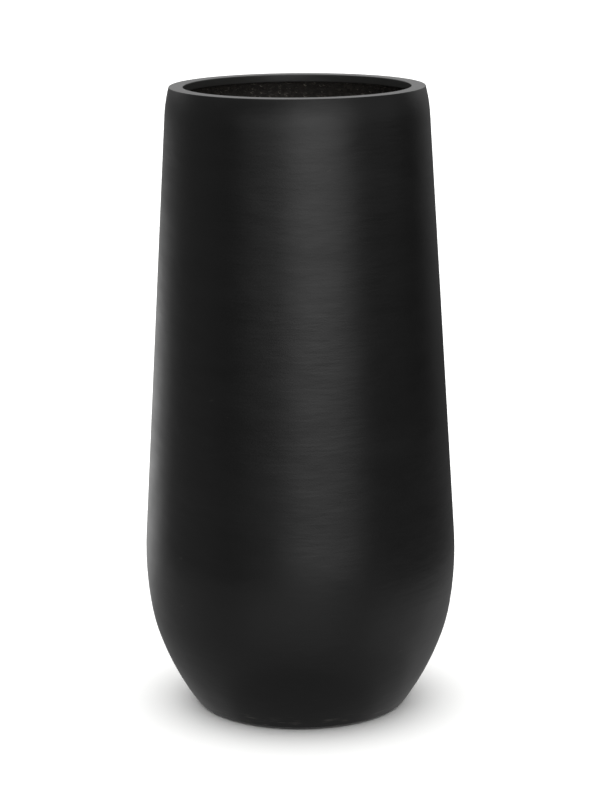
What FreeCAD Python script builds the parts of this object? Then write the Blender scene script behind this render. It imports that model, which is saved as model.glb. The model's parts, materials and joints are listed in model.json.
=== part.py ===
import FreeCAD, Part
import math
import os

# Tall hand-laid fiberglass planter, a body of revolution about Z that stands on z = 0.
# Its outline is one chain of tangent arcs and a straight taper, from the foot to the rim.
# The inside, the lip, the floor and the tapes are parallel offsets of that outline, so
# whatever is bonded to the wall follows it.

# Outline, in millimetres and degrees.
height = 1000.0            # floor to the top of the rim
belly_radius = 250.0       # widest point
belly_height = 251.0       # height of the widest point above the floor
belly_arc = 540.0          # outline radius through the belly
belly_turn = 9.7           # lean of the wall where the belly arc ends below
haunch_arc = 268.0         # tighter outline radius under the belly
haunch_turn = 19.0         # lean of the wall where the haunch arc ends
foot_arc = 442.0           # outline radius that draws the wall in to the foot
taper = 3.5                # straight upper wall, leaning in from vertical
shoulder_drop = 44.0       # below the rim, where the taper ends and the wall closes in
shoulder_arc = 217.0       # outline radius under the rim
rim_edge = 2.0             # broken outer rim edge
foot_edge = 3.0            # broken edge where the wall meets the foot

# Laminate.
wall = 6.5                 # face coat and glass mat together
bond_line = 0.3            # resin line between bonded pieces
tape_thickness = 1.2       # glass tape over the joint of the halves
tape_width = 64.0

# Rim ring.
lip_width = 22.3           # outer rim corner to mouth
lip_depth = 12.5
lip_bevel = 1.0            # broken upper edge of the lip at the mouth

# Foot, floor and drain.
foot_flange = 44.0         # width of the turned-in foot
flange_thickness = 5.5
floor_thickness = 6.0
cove = 18.0                # leg of the bonding bead on the floor
cove_hollow = 2.0          # how far the middle of the bead is drawn in from a straight bevel
drain_radius = 12.5
drain_bevel = 0.8          # broken upper edge of the drain hole

# Rubber parts.
pad_height = 3.0
pad_radius = 14.0
pad_count = 4
plug_fit = 0.3             # clearance of the plug's stem in the drain hole
plug_lead = 2.0            # bevel that leads the stem into the hole
plug_flange = 7.0          # overhang of the plug's flange round the hole
plug_flange_height = 3.0
plug_tip = 3.0             # stem below the floor panel
tab_width = 16.0
tab_height = 10.0          # grip above the flange
tab_thickness = 4.0
tab_bevel = 3.0            # clipped upper corners of the grip

# Heights and offsets that follow from the sizes above.
foot_z = pad_height
flange_z = foot_z + flange_thickness
floor_z = flange_z + floor_thickness
lip_z = height - lip_depth
bonded = wall + bond_line
tape_face = bonded + tape_thickness

full_turn = 360.0
half_turn = full_turn / 2
quarter_turn = full_turn / 4


def heading(lean):
    """Outward normal of the outline where the wall leans out by this many degrees."""
    angle = math.radians(lean)
    return FreeCAD.Vector(math.cos(angle), 0, -math.sin(angle))


belly_centre = FreeCAD.Vector(belly_radius - belly_arc, 0, belly_height)
haunch_centre = belly_centre + heading(belly_turn) * (belly_arc - haunch_arc)
foot_centre = haunch_centre + heading(haunch_turn) * (haunch_arc - foot_arc)
taper_foot = belly_centre + heading(-taper) * belly_arc
taper_rise = height - shoulder_drop - taper_foot.z
taper_top = taper_foot + FreeCAD.Vector(-math.tan(math.radians(taper)), 0, 1) * taper_rise
shoulder_centre = taper_top - heading(-taper) * shoulder_arc

# Arcs of the outline from the foot up: centre, radius, and the wall's lean at each end.
# The lean is a quarter turn where the outline faces straight down, and minus that at the top.
arcs = (
    (foot_centre, foot_arc, quarter_turn, haunch_turn),
    (haunch_centre, haunch_arc, haunch_turn, belly_turn),
    (belly_centre, belly_arc, belly_turn, -taper),
    (shoulder_centre, shoulder_arc, -taper, -quarter_turn),
)


def lean_at(centre, radius, z):
    """Lean of an outline arc at a height, flat where the arc doesn't reach it."""
    return math.degrees(math.asin(max(-1.0, min(1.0, (centre.z - z) / radius))))


def wall_radius(z, offset=0.0):
    """Radius at a height of the outline moved in by an offset."""
    for centre, arc, lean_below, lean_above in arcs:
        lean = lean_at(centre, arc - offset, z)
        if lean_above <= lean <= lean_below:
            return (centre + heading(lean) * (arc - offset)).x
    slope = math.radians(taper)
    return taper_foot.x - offset / math.cos(slope) - (z - taper_foot.z) * math.tan(slope)


def arc_edge(centre, radius, lean_from, lean_to):
    """Edge along an arc between two headings."""
    leans = (lean_from, (lean_from + lean_to) / 2, lean_to)
    return Part.Arc(*[centre + heading(lean) * radius for lean in leans]).toShape()


def polyline(*points):
    """Edges through points given as (radius, z)."""
    spots = [FreeCAD.Vector(r, 0, z) for r, z in points]
    return [Part.LineSegment(a, b).toShape() for a, b in zip(spots, spots[1:])]


def outline(offset, low, high):
    """Edges of the outline moved in by an offset, between two heights."""
    edges = []
    for centre, arc, lean_below, lean_above in arcs:
        radius = arc - offset
        first = min(lean_below, lean_at(centre, radius, low))
        last = max(lean_above, lean_at(centre, radius, high))
        if first > last:
            edges.append(arc_edge(centre, radius, first, last))
    inward = heading(-taper) * offset
    first_z = max(low, (taper_foot - inward).z)
    last_z = min(high, (taper_top - inward).z)
    if first_z < last_z:
        edges += polyline((wall_radius(first_z, offset), first_z), (wall_radius(last_z, offset), last_z))
    return edges


def turned(edges, start=0.0, sweep=full_turn):
    """Solid turned about the planter's axis from a closed outline, from a start angle on."""
    face = Part.Face(Part.Wire(Part.__sortEdges__(edges)))
    face.rotate(FreeCAD.Vector(0, 0, 0), FreeCAD.Vector(0, 0, 1), start)
    return face.revolve(FreeCAD.Vector(0, 0, 0), FreeCAD.Vector(0, 0, 1), sweep)


def shell_half(start):
    """Half of the moulded wall with its foot turned under, from one mould joint to the other."""
    flange_r = wall_radius(foot_z) - foot_flange
    top_edge = min(rim_edge, wall / 2)
    low = foot_z + foot_edge
    high = height - top_edge
    edges = outline(0, low, high) + outline(wall, flange_z, height)
    edges += polyline((wall_radius(high), high), (wall_radius(height) - top_edge, height),
                      (wall_radius(height, wall), height))
    edges += polyline((wall_radius(flange_z, wall), flange_z), (flange_r, flange_z), (flange_r, foot_z),
                      (wall_radius(foot_z) - foot_edge, foot_z), (wall_radius(low), low))
    return turned(edges, start, half_turn)


def seam_tape(joint):
    """Strip of tape up the inside, over the mould joint at this angle."""
    low = floor_z + cove + bond_line
    high = lip_z - bond_line
    edges = outline(bonded, low, high) + outline(tape_face, low, high)
    for z in (low, high):
        edges += polyline((wall_radius(z, bonded), z), (wall_radius(z, tape_face), z))
    layer = turned(edges, -quarter_turn / 2, quarter_turn)
    strip = layer.common(Part.makeBox(belly_radius, tape_width, height, FreeCAD.Vector(0, -tape_width / 2, 0)))
    strip.rotate(FreeCAD.Vector(0, 0, 0), FreeCAD.Vector(0, 0, 1), joint)
    return strip


def rim_ring():
    """Flat-topped lip cast inside the top of the joined halves."""
    mouth_r = wall_radius(height) - lip_width
    edges = outline(bonded, lip_z, height)
    edges += polyline((wall_radius(height, bonded), height), (mouth_r + lip_bevel, height),
                      (mouth_r, height - lip_bevel), (mouth_r, lip_z), (wall_radius(lip_z, bonded), lip_z))
    return turned(edges)


def floor_panel():
    """Laminated disc on the turned-in foot, with the drain hole."""
    edges = outline(bonded, flange_z, floor_z)
    edges += polyline((wall_radius(floor_z, bonded), floor_z), (drain_radius + drain_bevel, floor_z),
                      (drain_radius, floor_z - drain_bevel), (drain_radius, flange_z),
                      (wall_radius(flange_z, bonded), flange_z))
    return turned(edges)


def floor_cove():
    """Bonding bead in the corner of floor and wall, pressed hollow along its middle."""
    corner_r = wall_radius(floor_z, bonded)
    top_z = floor_z + cove
    toe = FreeCAD.Vector(corner_r - cove, 0, floor_z)
    head = FreeCAD.Vector(wall_radius(top_z, bonded), 0, top_z)
    chord = head - toe
    knee = (toe + head) * 0.5 + FreeCAD.Vector(chord.z, 0, -chord.x).normalize() * cove_hollow
    face = polyline((corner_r, floor_z), (toe.x, floor_z), (knee.x, knee.z), (head.x, head.z))
    return turned(outline(bonded, floor_z, top_z) + face)


def drain_plug():
    """Rubber stopper: bevelled stem, flange on the floor panel and a flat grip."""
    tip_z = flange_z - plug_tip
    flange_top = floor_z + plug_flange_height
    stem_r = drain_radius - plug_fit
    flange_r = drain_radius + plug_flange
    body = turned(polyline((0, tip_z), (stem_r - plug_lead, tip_z), (stem_r, tip_z + plug_lead),
                           (stem_r, floor_z), (flange_r, floor_z), (flange_r, flange_top),
                           (0, flange_top), (0, tip_z)))
    side = tab_width / 2
    top = flange_top + tab_height
    profile = polyline((-side, floor_z), (side, floor_z), (side, top - tab_bevel), (side - tab_bevel, top),
                       (tab_bevel - side, top), (-side, top - tab_bevel), (-side, floor_z))
    tab = Part.Face(Part.Wire(profile)).extrude(FreeCAD.Vector(0, tab_thickness, 0))
    tab.translate(FreeCAD.Vector(0, -tab_thickness / 2, 0))
    return body.fuse(tab).removeSplitter()


def foot_pads():
    """Rubber pads spread round the middle of the turned-in foot."""
    ring_r = wall_radius(foot_z) - (foot_flange + foot_edge) / 2
    pads = []
    for index in range(pad_count):
        turn = 2 * math.pi * (index + 0.5) / pad_count
        spot = FreeCAD.Vector(ring_r * math.cos(turn), ring_r * math.sin(turn), 0)
        pads.append(Part.makeCylinder(pad_radius, pad_height, spot))
    return Part.makeCompound(pads)


def export(name, shape):
    """Write one node's file, as a single solid where it is one."""
    solids = shape.Solids
    whole = solids[0] if len(solids) == 1 else Part.makeCompound(solids)
    whole.exportStep(os.path.join("parts", name + ".step"))
    print(name, len(solids), round(whole.Volume / 1000, 2), "cm3", whole.isValid())


os.makedirs("parts", exist_ok=True)
export("front_shell_half", shell_half(half_turn))
export("back_shell_half", shell_half(0))
export("right_seam_tape", seam_tape(0))
export("left_seam_tape", seam_tape(half_turn))
export("rim_ring", rim_ring())
export("floor_panel", floor_panel())
export("floor_cove", floor_cove())
export("drain_plug", drain_plug())
export("foot_pads", foot_pads())
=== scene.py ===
import functools
import json
import math

import bmesh
import bpy
from bpy.props import FloatProperty, FloatVectorProperty, IntProperty, PointerProperty
from mathutils import Matrix, Vector


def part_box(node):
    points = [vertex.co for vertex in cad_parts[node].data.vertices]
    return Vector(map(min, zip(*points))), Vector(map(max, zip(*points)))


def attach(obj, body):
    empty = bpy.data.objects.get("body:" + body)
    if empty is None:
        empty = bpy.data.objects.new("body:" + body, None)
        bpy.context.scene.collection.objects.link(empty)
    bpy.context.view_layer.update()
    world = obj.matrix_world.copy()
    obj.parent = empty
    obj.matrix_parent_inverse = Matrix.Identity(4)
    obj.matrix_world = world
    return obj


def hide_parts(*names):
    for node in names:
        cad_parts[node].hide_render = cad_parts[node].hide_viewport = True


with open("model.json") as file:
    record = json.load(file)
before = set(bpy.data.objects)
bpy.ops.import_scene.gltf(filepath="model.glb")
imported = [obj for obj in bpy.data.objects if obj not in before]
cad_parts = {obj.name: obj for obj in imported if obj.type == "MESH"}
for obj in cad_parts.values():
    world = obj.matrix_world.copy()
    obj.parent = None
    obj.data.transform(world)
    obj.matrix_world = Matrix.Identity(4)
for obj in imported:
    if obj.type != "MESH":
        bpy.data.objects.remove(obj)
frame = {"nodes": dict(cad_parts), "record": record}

bl_info = {
    "name": "Tall fiberglass planter",
    "version": (1, 0, 0),
    "blender": (4, 5, 0),
    "location": "View3D > Sidebar > Planter",
    "description": "A hand-laid fiberglass planter in satin black, and the studio it stands in",
    "category": "Add Mesh",
}

# Places that come from the packed model. Everything is in metres.
SHELL_LOW, SHELL_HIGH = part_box("front_shell_half")
RING_LOW, RING_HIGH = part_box("rim_ring")
PANEL_LOW, PANEL_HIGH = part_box("floor_panel")
TAPE_LOW, TAPE_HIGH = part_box("right_seam_tape")
COVE_LOW, COVE_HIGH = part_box("floor_cove")
PLUG_LOW, PLUG_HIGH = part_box("drain_plug")
PADS_LOW, PADS_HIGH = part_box("foot_pads")
MOUNTS = {mount["name"]: mount for mount in frame["record"]["mounts"]}
MOUTH_RADIUS = MOUNTS["mouth"]["dims"]["r_mm"] / 1000

SAME_POINT = 1e-6      # outline points closer than this are one point
WELD = 1e-5            # turned points closer than this are merged
SHARP = 0.6            # radians between two faces, past which their edge is drawn sharp
FULLY_LAID = 0.99      # the "laid" attribute is 1 on bare glass mat and 0 on lacquer
RAY_REACH = 2.0        # how far the draping looks for the wall


def linear(code):
    """Linear colour of an sRGB hex value."""
    shades = [int(code[i:i + 2], 16) / 255 for i in (1, 3, 5)]
    return *(s / 12.92 if s <= 0.04045 else ((s + 0.055) / 1.055) ** 2.4 for s in shades), 1.0


def length(name, description, default):
    return FloatProperty(name=name, description=description, default=default, unit="LENGTH",
                         precision=4)


def turn(name, description, degrees):
    return FloatProperty(name=name, description=description, default=math.radians(degrees),
                         subtype="ANGLE")


def colour(name, description, code):
    return FloatVectorProperty(name=name, description=description, default=linear(code),
                               subtype="COLOR", size=4, min=0, max=1)


# ---- sizes and finishes

class PlanterOutline(bpy.types.PropertyGroup):
    """The moulded outline, from the foot to the rim"""
    height: length("Height", "Floor to the top of the rim", SHELL_HIGH.z)
    foot_height: length("Foot height", "Floor to the underside of the foot", SHELL_LOW.z)
    belly_radius: length("Belly radius", "Widest point", SHELL_HIGH.x)
    belly_height: length("Belly height", "Height of the widest point", 0.251)
    belly_arc: length("Belly arc", "Outline radius through the belly", 0.540)
    belly_turn: turn("Belly turn", "Lean of the wall where the belly arc ends below", 9.7)
    haunch_arc: length("Haunch arc", "Outline radius under the belly", 0.268)
    haunch_turn: turn("Haunch turn", "Lean of the wall where the haunch arc ends", 19.0)
    foot_arc: length("Foot arc", "Outline radius down to the foot", 0.442)
    taper: turn("Taper", "Lean of the straight upper wall", 3.5)
    shoulder_drop: length("Shoulder drop", "Below the rim, where the taper ends", 0.044)
    shoulder_arc: length("Shoulder arc", "Outline radius under the rim", 0.217)
    rim_edge: length("Rim edge", "Rounding of the outer rim edge", 0.0007)
    foot_edge: length("Foot edge", "Rounding where the wall meets the foot", 0.005)


class PlanterLaminate(bpy.types.PropertyGroup):
    """The laid-up wall and what is bonded to it"""
    wall: length("Wall", "Face coat and glass mat together", 0.0065)
    mouth_radius: length("Mouth radius", "Clear radius inside the lip", MOUTH_RADIUS)
    mouth_edge: length("Mouth edge", "Rounding of the lip's upper inner edge", 0.0015)
    lip_depth: length("Lip depth", "Thickness of the cast lip", RING_HIGH.z - RING_LOW.z)
    flange_top: length("Flange top", "Height of the turned-in foot's upper face", PANEL_LOW.z)
    foot_flange: length("Foot flange", "Width of the turned-in foot", 0.044)
    floor_height: length("Floor height", "Top of the floor panel", PANEL_HIGH.z)
    bond: length("Bond line", "Resin between bonded pieces", 0.0003)
    relief: length("Lay-up relief", "Highest to lowest of the laid surface", 0.0014)
    strand_length: length("Strand length", "Chopped glass strand", 0.042)
    strand_width: length("Strand width", "Flattened strand bundle", 0.0011)
    strand_thickness: length("Strand thickness", "Half of it lies in the resin", 0.0008)
    strand_count: IntProperty(name="Strands", description="Strands that show for each square metre",
                              default=3000, min=0)
    tape_width: length("Tape width", "Glass tape over the mould joint", TAPE_HIGH.y - TAPE_LOW.y)
    tape_thickness: length("Tape thickness", "Wetted-out glass tape", 0.0012)
    cove_leg: length("Cove leg", "Bonding bead on the floor", COVE_HIGH.z - COVE_LOW.z)
    cove_hollow: length("Cove hollow", "How far the bead's middle is pressed in", 0.00198)


class PlanterFittings(bpy.types.PropertyGroup):
    """Rubber plug and foot pads"""
    stem_radius: length("Stem radius", "Plug stem under its flange", 0.0122)
    stem_lead: length("Stem lead", "Bevel at the plug's tip", 0.002)
    flange_height: length("Flange height", "Thickness of the plug's flange", 0.003)
    flange_edge: length("Flange edge", "Rounding of the plug's flange", 0.0009)
    tab_width: length("Grip width", "Grip of the plug", 0.016)
    tab_thickness: length("Grip thickness", "Grip of the plug", 0.004)
    tab_corner: length("Grip corner", "Rounding of the grip's upper corners", 0.003)
    tab_edge: length("Grip edge", "Rounding of the grip's other edges", 0.0008)
    pad_radius: length("Pad radius", "Foot pad", 0.014)
    pad_edge: length("Pad edge", "Rounding of a foot pad", 0.0006)
    pad_count: IntProperty(name="Pads", description="Foot pads round the foot", default=4, min=3)


class PlanterFinish(bpy.types.PropertyGroup):
    """Colours of the finishes"""
    lacquer: colour("Lacquer", "Sprayed satin lacquer", "#0b0b0b")
    lacquer_thin: colour("Thin lacquer", "Where the sanded primer greys the lacquer", "#121212")
    # Lighter grey of the lip's inner face, inside the mouth.
    mouth_grey: colour("Dry spray", "Lacquer that drifted into the mouth", "#2b2b2a")
    dust: colour("Dust", "Specks and scuffs on the lacquer", "#8a867f")
    mat: colour("Glass mat", "Brushed black over laid glass", "#353330")
    strand: colour("Strand", "Dry crests of the glass strands", "#6b655e")
    # Painted glints: pale specks on the glass mat that stand in for light caught by glass strand
    # ends.
    painted_glint: colour("Fleck", "Bare ends of glass that took no paint", "#bdb6aa")
    resin: colour("Bonding resin", "Wiped bead on the floor", "#101011")
    resin_thin: colour("Thin resin", "Where the tool wiped the bead thin", "#211f1d")
    rubber: colour("Rubber", "Plug and pads", "#1c1c1d")
    bloom: colour("Bloom", "Grey bloom on the rubber", "#363534")
    paper: colour("Floor", "Plain pale floor of the studio", "#fbfbfa")


class PlanterStudio(bpy.types.PropertyGroup):
    """Camera, floor and light"""
    distance: length("Camera distance", "Planter's axis to the camera", 3.979)
    camera_height: length("Camera height", "Floor to the camera", 1.404)
    side_step: length("Side step", "Camera to the right of the axis", 0.001)
    pitch: turn("Pitch", "Camera tilted down", 12.847)
    roll: turn("Roll", "Camera turned clockwise", 0.417)
    lens: FloatProperty(name="Lens", description="Focal length on a 36 mm frame", default=114.506,
                        unit="CAMERA")
    floor_reach: length("Floor", "Planter's axis to the edge of the floor", 30.0)
    light: FloatProperty(name="Light", description="Strength of the studio's light", default=1.0,
                         min=0)


# ---- outline

def heading(lean):
    """Outward normal, as (radius, height), where the wall leans out by this angle."""
    return Vector((math.cos(lean), -math.sin(lean)))


def outline_arcs(size):
    """Foot of the taper, and the arcs from the foot up as centre, radius and lean at each end."""
    belly = Vector((size.belly_radius - size.belly_arc, size.belly_height))
    haunch = belly + heading(size.belly_turn) * (size.belly_arc - size.haunch_arc)
    foot = haunch + heading(size.haunch_turn) * (size.haunch_arc - size.foot_arc)
    taper_foot = belly + heading(-size.taper) * size.belly_arc
    rise = size.height - size.shoulder_drop - taper_foot.y
    taper_top = taper_foot + Vector((-math.tan(size.taper), 1)) * rise
    shoulder = taper_top - heading(-size.taper) * size.shoulder_arc
    return taper_foot, (
        (foot, size.foot_arc, math.pi / 2, size.haunch_turn),
        (haunch, size.haunch_arc, size.haunch_turn, size.belly_turn),
        (belly, size.belly_arc, size.belly_turn, -size.taper),
        (shoulder, size.shoulder_arc, -size.taper, -math.pi / 2),
    )


def wall_at(size, z, offset=0.0):
    """Radius and lean of the wall at a height, moved in by an offset."""
    taper_foot, arcs = outline_arcs(size)
    for centre, radius, lean_below, lean_above in arcs:
        lean = math.asin(max(-1, min(1, (centre.y - z) / (radius - offset))))
        if lean_above <= lean <= lean_below:
            return (centre + heading(lean) * (radius - offset)).x, lean
    slope = (z - taper_foot.y) * math.tan(size.taper)
    return taper_foot.x - offset / math.cos(size.taper) - slope, -size.taper


def wall_points(size, low, high, offset, step):
    """Outline points between two heights, closer together at both ends, where it meets an edge."""
    count = max(2, round((high - low) / step))
    heights = [low + (high - low) * i / count for i in range(count + 1)]
    margin = min(step, high - low) / 6
    heights[1:1] = [low + margin]
    heights[-1:-1] = [high - margin]
    return [Vector((wall_at(size, z, offset)[0], z)) for z in heights]


def rounded(centre, radius, lean_from, lean_to, count=6):
    """Points of a rounded edge."""
    leans = [lean_from + (lean_to - lean_from) * i / count for i in range(count + 1)]
    return [Vector(centre) + heading(lean) * radius for lean in leans]


def straight(start, end, margin=0.0015):
    """Points of a flat face, with one close to each end so that its shading stays flat."""
    start, end = Vector(start), Vector(end)
    way = (end - start).normalized() * min(margin, (end - start).length / 3)
    return [start, start + way, end - way, end]


def body_outline(size, laminate):
    """Closed outline of the wall and lip, in stretches that are laid glass (1) or lacquer (0)."""
    foot_z, top = size.foot_height, size.height
    flange_radius = wall_at(size, foot_z)[0] - laminate.foot_flange
    foot_radius, foot_lean = wall_at(size, foot_z + size.foot_edge, size.foot_edge)
    foot_centre = Vector((foot_radius, foot_z + size.foot_edge))
    rim_radius, rim_lean = wall_at(size, top - size.rim_edge, size.rim_edge)
    rim_centre = Vector((rim_radius, top - size.rim_edge))
    low = (foot_centre + heading(foot_lean) * size.foot_edge).y
    high = (rim_centre + heading(rim_lean) * size.rim_edge).y
    mouth, edge, lip_z = laminate.mouth_radius, laminate.mouth_edge, top - laminate.lip_depth
    painted = straight((flange_radius, foot_z), (foot_radius, foot_z))
    painted += rounded(foot_centre, size.foot_edge, math.pi / 2, foot_lean)
    painted += wall_points(size, low, high, offset=0, step=0.008)
    painted += rounded(rim_centre, size.rim_edge, rim_lean, -math.pi / 2)
    painted += straight((rim_radius, top), (mouth + edge, top), margin=0.003)
    painted += rounded((mouth + edge, top - edge), edge, -math.pi / 2, -math.pi)
    painted += straight((mouth, top - edge), (mouth, lip_z + edge / 2))
    painted += rounded((mouth + edge / 2, lip_z + edge / 2), edge / 2, -math.pi, -1.5 * math.pi)
    lip_back = wall_at(size, lip_z, laminate.wall)[0]
    painted += straight((mouth + edge / 2, lip_z), (lip_back, lip_z))
    laid = wall_points(size, laminate.flange_top, lip_z, laminate.wall, step=0.006)[::-1]
    under = [Vector((flange_radius, laminate.flange_top)), Vector((flange_radius, foot_z))]
    return (painted, 0.0), (laid, 1.0), (under, 0.0)


def bead_outline(size, laminate):
    """Closed outline of the bead in the corner of floor and wall, pressed hollow along its face."""
    inside = laminate.wall + laminate.bond
    low, high = laminate.floor_height, laminate.floor_height + laminate.cove_leg
    toe = Vector((wall_at(size, low, inside)[0] - laminate.cove_leg, low))
    wall = wall_points(size, low, high, inside, step=0.006)
    head = wall[-1]
    pull = (toe + head) / 2 + Vector((1, -1)).normalized() * laminate.cove_hollow * 2
    shares = [i / 8 for i in range(1, 8)]
    face = [(1 - s) ** 2 * head + 2 * s * (1 - s) * pull + s ** 2 * toe for s in shares]
    return straight(toe, wall[0]) + wall[1:] + face


def plug_outline(fittings, seat):
    """Outline of the plug's stem and flange, from the axis round to the axis."""
    stem, lead, tip = fittings.stem_radius, fittings.stem_lead, PLUG_LOW.z
    edge, top = fittings.flange_edge, seat + fittings.flange_height
    flange = PLUG_HIGH.x - edge
    points = straight((0, tip), (stem - lead, tip), margin=0.0005)
    points += straight((stem - lead, tip), (stem, tip + lead), margin=0.0003)
    points += straight((stem, tip + lead), (stem, seat), margin=0.0005)
    points += straight((stem, seat), (flange, seat), margin=0.0005)
    points += rounded((flange, seat + edge), edge, math.pi / 2, 0)
    points += rounded((flange, top - edge), edge, 0, -math.pi / 2)
    return points + straight((flange, top), (0, top), margin=0.0008)


def pad_outline(fittings, thick):
    """Outline of a foot pad, from the axis round to the axis."""
    edge, flat = fittings.pad_edge, fittings.pad_radius - fittings.pad_edge
    points = straight((0, 0), (flat, 0), margin=0.001)
    points += rounded((flat, edge), edge, math.pi / 2, 0, count=4)
    points += rounded((flat, thick - edge), edge, 0, -math.pi / 2, count=4)
    return points + straight((flat, thick), (0, thick), margin=0.001)


# ---- node building

def feed(node, inputs):
    """Set or link a node's inputs, given in order, or by name or number."""
    for key, value in inputs.items() if isinstance(inputs, dict) else enumerate(inputs):
        if isinstance(value, bpy.types.Node):
            value = value.outputs[0]
        if isinstance(value, bpy.types.NodeSocket):
            node.id_data.links.new(value, node.inputs[key])
        else:
            node.inputs[key].default_value = value


def add(tree, kind, inputs=(), **settings):
    """Add a node with its settings, and set or link its inputs. A kind without "Node" in it is
    one that shaders and geometry share."""
    made = tree.nodes.new(kind if "Node" in kind else "ShaderNode" + kind)
    for name, value in settings.items():
        setattr(made, name, value)
    feed(made, inputs)
    return made


def geometry_tree(name, **sockets):
    """A geometry node tree, what adds a node to it, its inputs and its end. An input is given by
    its default, or by its kind where it has none."""
    tree = bpy.data.node_groups.new(name, "GeometryNodeTree")
    for label, default in sockets.items():
        named = isinstance(default, str)
        kind = default if named else {int: "Int", float: "Float"}[type(default)]
        socket = tree.interface.new_socket(name=label.replace("_", " "), in_out="INPUT",
                                           socket_type="NodeSocket" + kind)
        if not named:
            socket.default_value = default
    tree.interface.new_socket(name="Geometry", in_out="OUTPUT", socket_type="NodeSocketGeometry")
    node = functools.partial(add, tree)
    return tree, node, node("NodeGroupInput").outputs, node("NodeGroupOutput")


def turned_tree():
    """Turns an outline mesh, point by point, into a closed body round Z."""
    name = "Turned from an outline"
    if name in bpy.data.node_groups:
        return bpy.data.node_groups[name]
    tree, node, given, end = geometry_tree(
        name, Outline="Geometry", Facets=240, Girth=1.5, Relief=0.0, Grain=0.02, Seed=3.0,
        Finish="Material", Laid_finish="Material")
    rows = node("GeometryNodeAttributeDomainSize", (given["Outline"],))
    columns = node("Math", (given["Facets"], 1.0), operation="ADD")
    grid = node("GeometryNodeMeshGrid", {2: columns, 3: rows})
    index = node("GeometryNodeInputIndex")
    row = node("Math", (index, rows), operation="MODULO")
    column = node("Math", (index, rows), operation="DIVIDE")
    column = node("Math", (column,), operation="FLOOR")
    share = node("Math", (column, given["Facets"]), operation="DIVIDE")
    sampled = {}
    for label, kind in (("position", "FLOAT_VECTOR"), ("laid", "FLOAT"), ("run", "FLOAT")):
        field = node("GeometryNodeInputNamedAttribute", {"Name": label}, data_type=kind)
        sampled[label] = node("GeometryNodeSampleIndex", (given["Outline"], field, row),
                              data_type=kind, domain="POINT")
    angle = node("Math", (share, math.tau), operation="MULTIPLY")
    around = node("VectorRotate", {"Vector": sampled["position"], "Angle": angle},
                  rotation_type="Z_AXIS")
    girth = node("Math", (share, given["Girth"]), operation="MULTIPLY")
    unrolled = node("CombineXYZ", (girth, sampled["run"]))
    mapped = node("GeometryNodeStoreNamedAttribute", {0: grid, "Name": "wrap", "Value": unrolled},
                  data_type="FLOAT2", domain="CORNER")
    kept = node("GeometryNodeStoreNamedAttribute",
                {0: mapped, "Name": "laid", "Value": sampled["laid"]})
    shaped = node("GeometryNodeSetPosition", {0: kept, "Position": around})
    closed = node("GeometryNodeMergeByDistance", {0: shaped, "Distance": WELD})
    # Laid glass stands out and sinks in by half the relief.
    laid = node("GeometryNodeInputNamedAttribute", {"Name": "laid"})
    scale = node("Math", (1.0, given["Grain"]), operation="DIVIDE")
    lumps = node("TexNoise", {"W": given["Seed"], "Scale": scale, "Detail": 4.0,
                              "Roughness": 0.62}, noise_dimensions="4D")
    swing = node("Math", (lumps, 0.5), operation="SUBTRACT")
    rise = node("Math", (swing, given["Relief"]), operation="MULTIPLY")
    rise = node("Math", (rise, laid), operation="MULTIPLY")
    push = node("VectorMath", {0: node("GeometryNodeInputNormal"), "Scale": rise},
                operation="SCALE")
    raised = node("GeometryNodeSetPosition", {0: closed, "Offset": push})
    crease = node("Math", (node("GeometryNodeInputMeshEdgeAngle"), SHARP), operation="GREATER_THAN")
    edged = node("GeometryNodeStoreNamedAttribute", {
        0: raised, "Name": "sharp_edge", "Value": crease}, data_type="BOOLEAN", domain="EDGE")
    real = node("GeometryNodeRealizeInstances", (node("GeometryNodeSetShadeSmooth", (edged,)),))
    coated = node("GeometryNodeSetMaterial", {0: real, "Material": given["Finish"]})
    bare = node("Math", (laid, FULLY_LAID), operation="GREATER_THAN")
    feed(end, (node("GeometryNodeSetMaterial", {
        0: coated, "Selection": bare, "Material": given["Laid finish"]}),))
    return tree


def draped_tree():
    """Lays points on the wall: each goes along its ray to the wall and stands off by its lift."""
    name = "Laid on the wall"
    if name in bpy.data.node_groups:
        return bpy.data.node_groups[name]
    tree, node, given, end = geometry_tree(
        name, Geometry="Geometry", Wall="Object", From="Vector", Toward="Vector", Lift=0.0)
    wall = node("GeometryNodeObjectInfo", (given["Wall"],))
    way = node("VectorMath", (given["Toward"],), operation="NORMALIZE")
    ray = node("GeometryNodeRaycast", {
        "Target Geometry": wall.outputs["Geometry"], "Source Position": given["From"],
        "Ray Direction": way, "Ray Length": RAY_REACH})
    back = node("VectorMath", {0: way, "Scale": given["Lift"]}, operation="SCALE")
    rest = node("VectorMath", (ray.outputs["Hit Position"], back), operation="SUBTRACT")
    feed(end, (node("GeometryNodeSetPosition", {
        0: given["Geometry"], "Selection": ray.outputs["Is Hit"], "Position": rest}),))
    return tree


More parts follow.
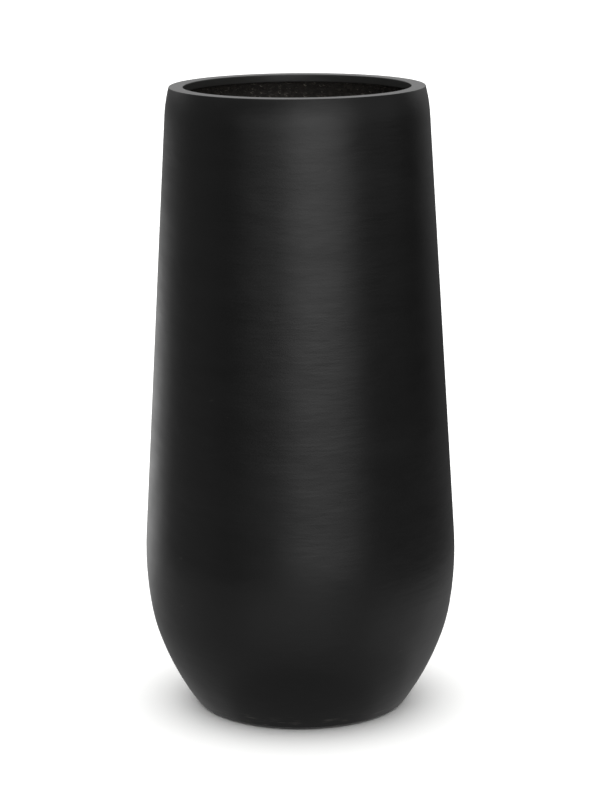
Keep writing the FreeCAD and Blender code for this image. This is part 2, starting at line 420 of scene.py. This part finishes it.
def strand_tree():
    """Strews chopped strands over the laid faces of the wall and wets them down onto it."""
    tree, node, given, end = geometry_tree(
        "Chopped strands", Geometry="Geometry", Wall="Object", Density=3000.0, Length=0.04,
        Width=0.001, Thickness=0.0004, Bow=0.15, Shortest=0.5, Longest=1.15, Low=0.0, High=1.0,
        Seed=7, Length_seed=11, Finish="Material")
    wall = node("GeometryNodeObjectInfo", (given["Wall"],))
    laid = node("GeometryNodeInputNamedAttribute", {"Name": "laid"})
    place = node("SeparateXYZ", (node("GeometryNodeInputPosition"),))
    above = node("Math", (place.outputs[2], given["Low"]), operation="GREATER_THAN")
    below = node("Math", (place.outputs[2], given["High"]), operation="LESS_THAN")
    zone = node("Math", (above, below), operation="MULTIPLY")
    zone = node("Math", (zone, laid), operation="MULTIPLY")
    zone = node("Math", (zone, FULLY_LAID), operation="GREATER_THAN")
    spots = node("GeometryNodeDistributePointsOnFaces", {
        "Mesh": wall.outputs["Geometry"], "Selection": zone, "Density": given["Density"],
        "Seed": given["Seed"]})
    size = node("CombineXYZ", (given["Length"], given["Width"], given["Thickness"]))
    strand = node("GeometryNodeMeshCube",
                  {"Size": size, "Vertices X": 6, "Vertices Y": 2, "Vertices Z": 2})
    local = node("SeparateXYZ", (node("GeometryNodeInputPosition"),))
    lift = node("GeometryNodeStoreNamedAttribute",
                {0: strand, "Name": "lift", "Value": local.outputs[2]})
    # A strand bows sideways by a share of its length, as the square of the way along it.
    share = node("Math", (local.outputs[0], given["Length"]), operation="DIVIDE")
    square = node("Math", (share, share), operation="MULTIPLY")
    bow = node("Math", (given["Length"], given["Bow"]), operation="MULTIPLY")
    bow = node("Math", (square, bow), operation="MULTIPLY")
    bent = node("GeometryNodeSetPosition", {0: lift, "Offset": node("CombineXYZ", {1: bow})})
    spin = node("FunctionNodeRandomValue", {2: 0.0, 3: math.tau, "Seed": given["Seed"]})
    stretch = node("FunctionNodeRandomValue", {
        2: given["Shortest"], 3: given["Longest"], "Seed": given["Length seed"]})
    flat_spin = node("FunctionNodeAxisAngleToRotation", ((0, 0, 1), spin.outputs[1]))
    spun = node("FunctionNodeRotateRotation", (spots.outputs["Rotation"], flat_spin),
                rotation_space="LOCAL")
    scale = node("CombineXYZ", (stretch.outputs[1], 1.0, 1.0))
    strewn = node("GeometryNodeInstanceOnPoints", {
        "Points": spots.outputs["Points"], "Instance": bent, "Rotation": spun, "Scale": scale})
    real = node("GeometryNodeRealizeInstances", (strewn,))
    spread = node("SeparateXYZ", (node("GeometryNodeInputPosition"),)).outputs
    wetted = node("GeometryNodeGroup", node_tree=draped_tree())
    feed(wetted, {
        "Geometry": real, "Wall": given["Wall"],
        "From": node("CombineXYZ", {2: spread[2]}),
        "Toward": node("CombineXYZ", (spread[0], spread[1])),
        "Lift": node("GeometryNodeInputNamedAttribute", {"Name": "lift"})})
    smooth = node("GeometryNodeSetShadeSmooth", (wetted,))
    feed(end, (node("GeometryNodeSetMaterial", {0: smooth, "Material": given["Finish"]}),))
    return tree


def tape_tree():
    """Lays a strip of glass tape up the wall on one side, with a wavering, feathered edge."""
    tree, node, given, end = geometry_tree(
        "Glass tape", Geometry="Geometry", Wall="Object", Side=1.0, Width=0.06, Thickness=0.001,
        Thin_edge=0.15, Feather_from=0.82, Sunk=0.0002, Low=0.0, High=1.0, Waver=0.0015,
        Waves_per_metre=26.0, Seed=5.0, Finish="Material")
    tall = node("Math", (given["High"], given["Low"]), operation="SUBTRACT")
    strip = node("GeometryNodeMeshCube", {
        "Size": node("CombineXYZ", (1.0, given["Width"], tall)),
        "Vertices X": 2, "Vertices Y": 25, "Vertices Z": 200})
    local = node("SeparateXYZ", (node("GeometryNodeInputPosition"),)).outputs
    mapped = node("GeometryNodeStoreNamedAttribute", {
        0: strip, "Name": "wrap", "Value": node("CombineXYZ", (local[1], local[2]))},
        data_type="FLOAT2", domain="CORNER")
    # The tape's upper face thins out towards both edges, and its lower face sinks into the wall.
    half = node("Math", (given["Width"], 0.5), operation="MULTIPLY")
    out = node("Math", (local[1], half), operation="DIVIDE")
    out = node("Math", (out,), operation="ABSOLUTE")
    feather = node("MapRange", (out, given["Feather from"], 1.0, 1.0, given["Thin edge"]))
    top = node("Math", (local[0], 0.0), operation="GREATER_THAN")
    raised = node("Math", (given["Thickness"], feather), operation="MULTIPLY")
    raised = node("Math", (raised, top), operation="MULTIPLY")
    sunk = node("Math", (raised, given["Sunk"]), operation="SUBTRACT")
    lifted = node("GeometryNodeStoreNamedAttribute", {0: mapped, "Name": "lift", "Value": sunk})
    drift = node("TexNoise", {"W": given["Seed"], "Scale": given["Waves per metre"],
                              "Detail": 3.0}, noise_dimensions="4D")
    sway = node("Math", (drift, 0.5), operation="SUBTRACT")
    sway = node("Math", (sway, given["Waver"]), operation="MULTIPLY")
    edge = node("Math", (sway, out), operation="MULTIPLY")
    middle = node("Math", (given["High"], given["Low"]), operation="ADD")
    middle = node("Math", (middle, 0.5), operation="MULTIPLY")
    stood = node("GeometryNodeSetPosition", {
        0: lifted, "Offset": node("CombineXYZ", {1: edge, 2: middle})})
    place = node("SeparateXYZ", (node("GeometryNodeInputPosition"),)).outputs
    laid = node("GeometryNodeGroup", node_tree=draped_tree())
    feed(laid, {
        "Geometry": stood, "Wall": given["Wall"],
        "From": node("CombineXYZ", {1: place[1], 2: place[2]}),
        "Toward": node("CombineXYZ", (given["Side"],)),
        "Lift": node("GeometryNodeInputNamedAttribute", {"Name": "lift"})})
    right = node("Math", (given["Side"], 0.0), operation="GREATER_THAN")
    outward = node("GeometryNodeFlipFaces", (laid, right))
    smooth = node("GeometryNodeSetShadeSmooth", (outward,))
    real = node("GeometryNodeRealizeInstances", (smooth,))
    feed(end, (node("GeometryNodeSetMaterial", {0: real, "Material": given["Finish"]}),))
    return tree


def pad_tree():
    """Turns a pad and sets it out on a circle."""
    tree, node, given, end = geometry_tree(
        "Pads on a circle", Outline="Geometry", Pads=4, Circle=0.15, Facets=48, Finish="Material")
    pad = node("GeometryNodeGroup", node_tree=turned_tree())
    feed(pad, {"Outline": given["Outline"], "Facets": given["Facets"], "Finish": given["Finish"],
               "Laid finish": given["Finish"]})
    circle = node("GeometryNodeMeshCircle", {"Vertices": given["Pads"], "Radius": given["Circle"]})
    step = node("Math", (math.pi, given["Pads"]), operation="DIVIDE")
    swung = node("GeometryNodeTransform", {0: circle, "Rotation": node("CombineXYZ", {2: step})})
    set_out = node("GeometryNodeInstanceOnPoints", {"Points": swung, "Instance": pad})
    real = node("GeometryNodeRealizeInstances", (set_out,))
    feed(end, (node("GeometryNodeSetMaterial", {0: real, "Material": given["Finish"]}),))
    return tree


# ---- piece making

def outline_mesh(name, *stretches):
    """Mesh of an outline in the XZ plane, closed unless it starts on the axis, from stretches of
    points and their "laid" value. "run" says how far along the outline each point lies."""
    points, flags = [], []
    for stretch, flag in stretches:
        for point in stretch:
            if not points or (point - points[-1]).length > SAME_POINT:
                points.append(point)
                flags.append(flag)
    if points[0].x > SAME_POINT:
        points.append(points[0])
        flags.append(0.0)
    mesh = bpy.data.meshes.new(name)
    mesh.from_pydata([(p.x, 0, p.y) for p in points],
                     [(i, i + 1) for i in range(len(points) - 1)], [])
    along = [0.0]
    for start, end in zip(points, points[1:]):
        along.append(along[-1] + (end - start).length)
    for label, values in (("laid", flags), ("run", along)):
        mesh.attributes.new(label, "FLOAT", "POINT").data.foreach_set("value", values)
    return mesh


def grown(name, tree, body, slot, replaced, mesh=None, **values):
    """A piece made by a node tree, turned into a plain mesh that rides on its body."""
    piece = bpy.data.objects.new(name, mesh or bpy.data.meshes.new(name))
    bpy.context.scene.collection.objects.link(piece)
    modifier = piece.modifiers.new(tree.name, "NODES")
    modifier.node_group = tree
    sockets = {item.name: item.identifier for item in tree.interface.items_tree
               if item.in_out == "INPUT"}
    for key, value in values.items():
        modifier[sockets[key.replace("_", " ")]] = value
    graph = bpy.context.evaluated_depsgraph_get()
    solid = bpy.data.meshes.new_from_object(piece.evaluated_get(graph))
    piece.modifiers.clear()
    piece.data = solid
    solid.name = name
    return settled(piece, body, replaced)


def settled(piece, body, replaced):
    """Bind a finished piece to its CAD body, and hide the nodes it stands for."""
    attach(piece, body)
    if replaced:
        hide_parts(*replaced)
    return piece


# ---- materials
# A Map Range is given its value, the range that this comes in and the range it is turned into.

SPECK_EDGE = 0.4       # share of a speck's radius over which it fades, inwards and outwards

def material(name, rough, ior=1.5):
    """A new material, what adds a node to it, and its Principled shader."""
    made = bpy.data.materials.new(name)
    made.use_nodes = True
    shader = made.node_tree.nodes["Principled BSDF"]
    feed(shader, {"Roughness": rough, "IOR": ior})
    return made, functools.partial(add, made.node_tree), shader


def painted(node, shader, ground, *coats):
    """Colour a shader with a ground and, over it, coats that each cover a share of it."""
    for share, coat in coats:
        mixed = node("Mix", {0: share, 6: ground, 7: coat}, data_type="RGBA")
        ground = mixed.outputs[2]
    feed(shader, {"Base Color": ground})


def embossed(node, shader, *layers):
    """Give a shader its relief, from patterns and how high each stands, the broadest first."""
    for pattern, rise in layers:
        bump = node("Bump", {"Height": pattern, "Distance": rise})
        below = shader.inputs["Normal"].links
        if below:
            feed(bump, {"Normal": below[0].from_socket})
        feed(shader, {"Normal": bump})


def in_features(node, *size):
    """Object coordinates counted in features of this size, for each axis or for all three."""
    place = node("TexCoord").outputs["Object"]
    return node("Mapping", {"Vector": place, "Scale": size * (3 // len(size))},
                vector_type="TEXTURE")


def specks(node, spacing, radius, share):
    """Round specks, in a share of the cells of this spacing, on the unrolled surface."""
    place = node("UVMap", uv_map="wrap")
    spread = node("Mapping", {"Vector": place, "Scale": (1 / spacing, 1 / spacing, 1)})
    cells = node("TexVoronoi", {"Vector": spread, "Scale": 1.0}, voronoi_dimensions="2D")
    size = radius / spacing
    outer, inner = size * (1 + SPECK_EDGE), size * (1 - SPECK_EDGE)
    spot = node("MapRange", (cells.outputs["Distance"], outer, inner, 0.0, 1.0))
    draw = node("SeparateColor", (cells.outputs["Color"],))
    chosen = node("Math", (draw, 1 - share), operation="GREATER_THAN")
    return node("Math", (spot, chosen), operation="MULTIPLY")


def sprayed_satin_lacquer(finish):
    """Black lacquer sprayed on hand-sanded filler. Sanding round the axis leaves shallow ripples
    6 mm apart, which break up the highlight, and the spray a fine grain that makes it satin. The
    grain is drawn 2 mm wide, several times its real size, because a finer one wouldn't show."""
    made, node, shader = material("sprayed_satin_lacquer", 0.3)
    thin = node("TexNoise", {"Vector": in_features(node, 0.17, 0.17, 0.2), "Scale": 1.0,
                             "Detail": 4.0})
    # Inside the mouth the lip's inner face is coloured a lighter grey than the rest.
    place = node("TexCoord").outputs["Object"]
    height = node("SeparateXYZ", (place,)).outputs[2]
    flat = node("VectorMath", (place, (1, 1, 0)), operation="MULTIPLY")
    radius = node("VectorMath", (flat,), operation="LENGTH").outputs["Value"]
    within = node("MapRange", (radius, MOUTH_RADIUS + 0.0004, MOUTH_RADIUS + 0.0016, 1.0, 0.0))
    above = node("Math", (height, RING_LOW.z - 0.001), operation="GREATER_THAN")
    lip_inner_face = node("Math", (within, above), operation="MULTIPLY")
    # Dust: specks of 2 mm in one of eight cells of 60 mm, which hide 15% of the lacquer.
    dust = node("Math", (specks(node, spacing=0.06, radius=0.001, share=0.12), 0.15),
                operation="MULTIPLY")
    # Scuffs where the foot is knocked and dragged: pale streaks 30 mm long and 1.6 mm high, in
    # the lowest 30 mm. Real ones are hair-thin, which wouldn't show.
    streaks = node("TexNoise", {"Vector": in_features(node, 0.03, 0.03, 0.0016), "Scale": 1.0,
                                "Detail": 1.0})
    worn = node("MapRange", (streaks, 0.62, 0.7, 0.0, 0.3))
    low = node("MapRange", (height, 0.03, 0.015, 0.0, 1.0))
    scuffs = node("Math", (worn, low), operation="MULTIPLY")
    soiled = node("Math", (dust, scuffs), operation="MAXIMUM")
    painted(node, shader, finish.lacquer, (thin, finish.lacquer_thin),
            (lip_inner_face, finish.mouth_grey), (soiled, finish.dust))
    # Handling leaves broad, flat smears that are a little shinier or duller.
    smear = node("TexNoise", {"Vector": in_features(node, 0.14, 0.14, 0.04), "Scale": 1.0,
                              "Detail": 5.0, "Roughness": 0.6})
    feed(shader, {"Roughness": node("MapRange", (smear, 0.3, 0.7, 0.285, 0.34))})
    hollow = node("TexNoise", {"Vector": in_features(node, 0.11, 0.11, 0.07), "Scale": 1.0,
                               "Detail": 2.0})
    ripple = node("TexNoise", {"Vector": in_features(node, 0.04, 0.04, 0.006), "Scale": 1.0,
                               "Detail": 2.0})
    grain = node("TexNoise", {"Vector": in_features(node, 0.002), "Scale": 1.0})
    embossed(node, shader, (hollow, 0.0012), (ripple, 0.00014), (grain, 0.00008))
    return made


def brushed_glass_mat(finish, name="brushed_glass_mat", wrapped=True):
    """Chopped-strand mat wetted with resin by roller and brushed black. Crossing strands a
    millimetre wide stand out of the resin, so it is rough and catches small lights."""
    made, node, shader = material(name, 0.45)
    place = (node("UVMap", uv_map="wrap").outputs[0] if wrapped
             else node("TexCoord").outputs["Object"])
    height = 0.0
    for degrees, seed in ((12, 1.0), (57, 2.0), (101, 3.0), (149, 4.0)):
        # Strands about 30 mm long and 1.6 mm wide, turned before they are stretched.
        lay = node("Mapping", {
            "Vector": place, "Rotation": (0, 0, math.radians(degrees)),
            "Scale": (0.03, 0.0016, 0.03)}, vector_type="TEXTURE")
        fibre = node("TexNoise", {"Vector": lay, "W": seed, "Scale": 1.0, "Detail": 1.0},
                     noise_dimensions="4D")
        crest = node("MapRange", (fibre, 0.55, 0.78, 0.0, 1.0))
        height = node("Math", (height, crest), operation="MAXIMUM")
    coats = [(height, finish.strand)]
    if wrapped:
        # Painted glints of light on strand ends, 1.3 mm across, in every other cell of 6 mm.
        coats.append((specks(node, spacing=0.006, radius=0.00065, share=0.5), finish.painted_glint))
    painted(node, shader, finish.mat, *coats)
    feed(shader, {"Roughness": node("MapRange", (height, 0.0, 1.0, 0.5, 0.34))})
    clots = node("TexNoise", {"Vector": in_features(node, 0.006), "Scale": 1.0, "Detail": 3.0})
    embossed(node, shader, (clots, 0.0012), (height, 0.0006))
    return made


def woven_glass_tape(finish):
    """Plain-woven glass tape under resin: tows 2.5 mm apart show as a soft square weave."""
    made, node, shader = material("woven_glass_tape", 0.4)
    place = node("SeparateXYZ", (node("UVMap", uv_map="wrap"),))
    tows = []
    for way in place.outputs[:2]:
        phase = node("Math", (way, math.pi / 0.0025), operation="MULTIPLY")
        tows.append(node("Math", (phase,), operation="SINE"))
    weave = node("Math", tows, operation="MULTIPLY")
    painted(node, shader, finish.mat,
            (node("MapRange", (weave, 0.2, 1.0, 0.0, 0.7)), finish.strand))
    clots = node("TexNoise", {"Vector": in_features(node, 0.009), "Scale": 1.0, "Detail": 3.0})
    embossed(node, shader, (clots, 0.001), (weave, 0.0002))
    return made


def wiped_resin(finish):
    """Thickened polyester bead, wiped with a round tool: glossier than the mat, with drag marks."""
    made, node, shader = material("wiped_bonding_resin", 0.26)
    thin = node("TexNoise", {"Vector": in_features(node, 0.045), "Scale": 1.0, "Detail": 4.0})
    painted(node, shader, finish.resin, (thin, finish.resin_thin))
    drag = node("TexNoise", {"Vector": in_features(node, 0.03, 0.03, 0.004), "Scale": 1.0,
                             "Detail": 3.0})
    embossed(node, shader, (drag, 0.0007))
    return made


def moulded_rubber(finish, name, rough, grit):
    """Natural rubber from a blasted mould: dead matt, with a fine grit and a grey bloom. The grit
    stands out by an eighth of its width."""
    made, node, shader = material(name, rough)
    bloom = node("TexNoise", {"Vector": in_features(node, 0.011), "Scale": 1.0, "Detail": 4.0})
    painted(node, shader, finish.rubber, (bloom, finish.bloom))
    grain = node("TexNoise", {"Vector": in_features(node, grit), "Scale": 1.0})
    embossed(node, shader, (grain, grit / 8))
    return made


def paper_floor(finish):
    """Seamless studio paper, so matt that it has no highlight of its own."""
    made = bpy.data.materials.new("studio_paper")
    made.use_nodes = True
    made.node_tree.nodes.clear()
    lit = add(made.node_tree, "BsdfDiffuse", {"Color": finish.paper})
    add(made.node_tree, "OutputMaterial", {"Surface": lit})
    return made


# ---- studio

# Soft lights round the planter: azimuth to the right of the camera, half width and soft edge,
# lowest and highest elevation and soft edge, all in degrees, then brightness. The paper on the
# floor lights the planter from below the horizon, because its own mesh hides from reflections.
LIGHTS = (
    ("paper by the foot", 0, 360, 1, -100, -55, 20, 0.20),
    ("paper all round", 0, 360, 1, -55, -15, 10, 0.28),
    ("paper in front", -5, 35, 40, -35, -12, 5, 0.20),
    ("paper to the right", 95, 40, 30, -40, -20, 5, 0.20),
    ("window", 18, 25, 32, -8, 18, 10, 1.25),
    ("window's left side", -10, 36, 40, 0, 10, 8, 1.15),
    ("panel to the right", 70, 30, 40, -2, 18, 8, 0.35),
    ("wall to the left", -115, 55, 30, -20, 40, 15, 0.14),
    ("strip behind, left", -150, 20, 40, -17, -8, 6, 0.90),
    ("wall behind, right", 160, 35, 40, -8, 30, 15, 0.22),
    ("white wall behind", 180, 60, 40, 5, 45, 8, 0.45),
    ("bounce of the ceiling", 0, 360, 1, 30, 50, 10, 1.20),
    ("ceiling", 0, 360, 1, 50, 100, 10, 2.50),
)
WHITE = (1, 1, 1, 1)


def studio_world(strength):
    """The lights as soft-edged patches of the sky, and white wherever the camera looks past."""
    world = bpy.data.worlds.new("studio")
    world.use_nodes = True
    world.node_tree.nodes.clear()
    node = functools.partial(add, world.node_tree)
    toward = node("TexCoord").outputs["Generated"]
    right, back, up = node("SeparateXYZ", (toward,)).outputs
    front = node("Math", (back, -1.0), operation="MULTIPLY")
    azimuth = node("Math", (right, front), operation="ARCTAN2")
    elevation = node("Math", (up,), operation="ARCSINE")
    total = 0.0
    for _, centre, half, side_edge, low, high, edge, brightness in LIGHTS:
        off = node("Math", (azimuth, math.radians(centre)), operation="SUBTRACT")
        off = node("Math", (off, math.pi, -math.pi), operation="WRAP")
        off = node("Math", (off,), operation="ABSOLUTE")
        patch = brightness
        # It fades out past its half width and its highest elevation, and in above its lowest.
        for value, border, soft, before, after in ((off, half, side_edge, 1.0, 0.0),
                                                   (elevation, low, edge, 0.0, 1.0),
                                                   (elevation, high, edge, 1.0, 0.0)):
            ends = math.radians(border - soft / 2), math.radians(border + soft / 2)
            fade = node("MapRange", (value, *ends, before, after), interpolation_type="SMOOTHSTEP")
            patch = node("Math", (patch, fade), operation="MULTIPLY")
        total = node("Math", (total, patch), operation="ADD")
    power = node("Math", (total, strength), operation="MULTIPLY")
    lit = node("Background", {"Color": WHITE, "Strength": power})
    white = node("Background", {"Color": WHITE, "Strength": 1.0})
    seen = node("MixShader", (node("LightPath").outputs["Is Camera Ray"], lit, white))
    node("OutputWorld", {"Surface": seen})
    return world


# ---- operators

class PlanterStep(bpy.types.Operator):
    """Shared settings of the planter's operators"""
    bl_options = {"REGISTER", "UNDO"}


class PLANTER_OT_turn_body(PlanterStep):
    """Turn the wall, foot and lip from their outline, painted outside and bare glass mat inside"""
    bl_idname = "planter.turn_body"
    bl_label = "Wall and lip"

    def execute(self, context):
        size, laminate = context.scene.planter_outline, context.scene.planter_laminate
        finish = context.scene.planter_finish
        grown("moulded_body", turned_tree(), "planter", "satin_laminate",
              ("front_shell_half", "back_shell_half", "rim_ring"),
              outline_mesh("body_outline", *body_outline(size, laminate)), Facets=240,
              Girth=math.tau * size.belly_radius, Relief=laminate.relief, Grain=0.03,
              Finish=sprayed_satin_lacquer(finish), Laid_finish=brushed_glass_mat(finish))
        return {"FINISHED"}


class PLANTER_OT_strew_strands(PlanterStep):
    """Strew chopped glass strands over the inside of the wall"""
    bl_idname = "planter.strew_strands"
    bl_label = "Chopped strands"

    def execute(self, context):
        size, laminate = context.scene.planter_outline, context.scene.planter_laminate
        margin = laminate.strand_length / 2
        grown("chopped_strands", strand_tree(), "planter", "glass_mat", (),
              Wall=bpy.data.objects["moulded_body"], Density=float(laminate.strand_count),
              Length=laminate.strand_length, Width=laminate.strand_width,
              Thickness=laminate.strand_thickness,
              Low=laminate.floor_height + laminate.cove_leg + margin,
              High=size.height - laminate.lip_depth - margin,
              Finish=bpy.data.materials["brushed_glass_mat"])
        return {"FINISHED"}


class PLANTER_OT_tape_joints(PlanterStep):
    """Tape over both mould joints inside"""
    bl_idname = "planter.tape_joints"
    bl_label = "Seam tapes"

    def execute(self, context):
        laminate = context.scene.planter_laminate
        finish = woven_glass_tape(context.scene.planter_finish)
        tree = tape_tree()
        for name, side in (("left_seam_tape", -1.0), ("right_seam_tape", 1.0)):
            grown("woven_" + name, tree, "planter", "glass_mat", (name,),
                  Wall=bpy.data.objects["moulded_body"], Side=side, Width=laminate.tape_width,
                  Thickness=laminate.tape_thickness + laminate.bond, Low=TAPE_LOW.z,
                  High=TAPE_HIGH.z, Seed=5.0 + side, Finish=finish)
        return {"FINISHED"}


class PLANTER_OT_finish_floor(PlanterStep):
    """Finish the floor panel and turn the bonding bead round it"""
    bl_idname = "planter.finish_floor"
    bl_label = "Floor and cove"

    def execute(self, context):
        size, laminate = context.scene.planter_outline, context.scene.planter_laminate
        finish = context.scene.planter_finish
        panel = frame["nodes"]["floor_panel"]
        panel.data.materials.clear()
        panel.data.materials.append(brushed_glass_mat(finish, "rolled_floor_mat", wrapped=False))
        mesh = outline_mesh("cove_outline", (bead_outline(size, laminate), 0.0))
        grown("bonding_cove", turned_tree(), "planter", "bonding_resin", ("floor_cove",), mesh,
              Facets=200, Girth=math.tau * size.belly_radius, Finish=wiped_resin(finish),
              Laid_finish=None)
        return {"FINISHED"}


class PLANTER_OT_make_plug(PlanterStep):
    """Turn the drain plug and cut its grip"""
    bl_idname = "planter.make_plug"
    bl_label = "Drain plug"

    def execute(self, context):
        seat, fittings = context.scene.planter_laminate.floor_height, context.scene.planter_fittings
        finish = context.scene.planter_finish
        rubber = moulded_rubber(finish, "moulded_plug_rubber", rough=0.55, grit=0.0004)
        grown("plug_body", turned_tree(), "plug", "plug_rubber", ("drain_plug",),
              outline_mesh("plug_outline", (plug_outline(fittings, seat), 0.0)), Facets=96,
              Finish=rubber, Laid_finish=None)
        half, corner, thick = fittings.tab_width / 2, fittings.tab_corner, fittings.tab_thickness
        low, high = seat + fittings.flange_edge, PLUG_HIGH.z - corner
        profile = [Vector((-half, low)), Vector((half, low))]
        profile += rounded((half - corner, high), corner, 0, -math.pi / 2)
        profile += rounded((corner - half, high), corner, -math.pi / 2, -math.pi)
        mesh = bmesh.new()
        face = mesh.faces.new([mesh.verts.new((p.x, -thick / 2, p.y)) for p in profile])
        pulled = bmesh.ops.extrude_face_region(mesh, geom=[face])
        moved = [v for v in pulled["geom"] if isinstance(v, bmesh.types.BMVert)]
        bmesh.ops.translate(mesh, verts=moved, vec=(0, thick, 0))
        bmesh.ops.recalc_face_normals(mesh, faces=mesh.faces)
        # The rims of both flat faces turn by a right angle, which the upper corners don't.
        rims = [e for e in mesh.edges if e.calc_face_angle(0) > 1.2]
        bmesh.ops.bevel(mesh, geom=rims, offset=fittings.tab_edge, segments=3, profile=0.5,
                        affect="EDGES", clamp_overlap=True)
        grip = bpy.data.objects.new("plug_grip", bpy.data.meshes.new("plug_grip"))
        mesh.to_mesh(grip.data)
        mesh.free()
        grip.data.materials.append(rubber)
        context.scene.collection.objects.link(grip)
        settled(grip, "plug", ("drain_plug",))
        return {"FINISHED"}


class PLANTER_OT_set_pads(PlanterStep):
    """Set the rubber pads round the foot"""
    bl_idname = "planter.set_pads"
    bl_label = "Foot pads"

    def execute(self, context):
        fittings, finish = context.scene.planter_fittings, context.scene.planter_finish
        points = pad_outline(fittings, PADS_HIGH.z - PADS_LOW.z)
        circle = math.hypot(PADS_HIGH.x - fittings.pad_radius, PADS_HIGH.y - fittings.pad_radius)
        grown("rubber_foot_pads", pad_tree(), "planter", "pad_rubber", ("foot_pads",),
              outline_mesh("pad_outline", (points, 0.0)), Pads=fittings.pad_count, Circle=circle,
              Finish=moulded_rubber(finish, "cut_pad_rubber", rough=0.7, grit=0.0006))
        return {"FINISHED"}


class PLANTER_OT_light_studio(PlanterStep):
    """Lay the floor, light the studio and set up the camera"""
    bl_idname = "planter.light_studio"
    bl_label = "Studio"

    def execute(self, context):
        scene, studio = context.scene, context.scene.planter_studio
        mesh = bmesh.new()
        bmesh.ops.create_grid(mesh, x_segments=1, y_segments=1, size=studio.floor_reach)
        floor = bpy.data.objects.new("studio_floor", bpy.data.meshes.new("studio_floor"))
        mesh.to_mesh(floor.data)
        mesh.free()
        floor.data.materials.append(paper_floor(scene.planter_finish))
        scene.collection.objects.link(floor)
        # The paper lights the planter through the world, not by its own bounce.
        floor.visible_glossy = floor.visible_diffuse = floor.visible_shadow = False
        scene.world = studio_world(studio.light)
        camera = bpy.data.objects.new("camera", bpy.data.cameras.new("camera"))
        camera.data.lens = studio.lens
        camera.data.sensor_width = 36
        camera.data.clip_end = 100
        spot = Matrix.Translation((studio.side_step, -studio.distance, studio.camera_height))
        camera.matrix_world = (spot @ Matrix.Rotation(math.pi / 2 - studio.pitch, 4, "X")
                               @ Matrix.Rotation(-studio.roll, 4, "Z"))
        scene.collection.objects.link(camera)
        scene.camera = camera
        scene.view_settings.view_transform = "Standard"
        return {"FINISHED"}


class PLANTER_PT_panel(bpy.types.Panel):
    """Sizes, finishes and steps of the planter"""
    bl_idname = "PLANTER_PT_panel"
    bl_label = "Fiberglass planter"
    bl_space_type = "VIEW_3D"
    bl_region_type = "UI"
    bl_category = "Planter"

    def draw(self, context):
        for name, kind in GROUPS.items():
            box = self.layout.box()
            box.label(text=kind.__doc__)
            for key in kind.__annotations__:
                box.prop(getattr(context.scene, name), key)
        for step in STEPS:
            self.layout.operator(step.bl_idname)


GROUPS = {"planter_outline": PlanterOutline, "planter_laminate": PlanterLaminate,
          "planter_fittings": PlanterFittings, "planter_finish": PlanterFinish,
          "planter_studio": PlanterStudio}
STEPS = (PLANTER_OT_turn_body, PLANTER_OT_strew_strands, PLANTER_OT_tape_joints,
         PLANTER_OT_finish_floor, PLANTER_OT_make_plug, PLANTER_OT_set_pads,
         PLANTER_OT_light_studio)


def register():
    for name, group in GROUPS.items():
        bpy.utils.register_class(group)
        setattr(bpy.types.Scene, name, PointerProperty(type=group))
    for step in (*STEPS, PLANTER_PT_panel):
        bpy.utils.register_class(step)


def unregister():
    for step in (PLANTER_PT_panel, *reversed(STEPS)):
        bpy.utils.unregister_class(step)
    for name, group in GROUPS.items():
        delattr(bpy.types.Scene, name)
        bpy.utils.unregister_class(group)


def main():
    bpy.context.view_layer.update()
    register()
    bpy.ops.planter.turn_body()
    bpy.ops.planter.strew_strands()
    bpy.ops.planter.tape_joints()
    bpy.ops.planter.finish_floor()
    bpy.ops.planter.make_plug()
    bpy.ops.planter.set_pads()
    bpy.ops.planter.light_studio()


if __name__ == "__main__":
    main()
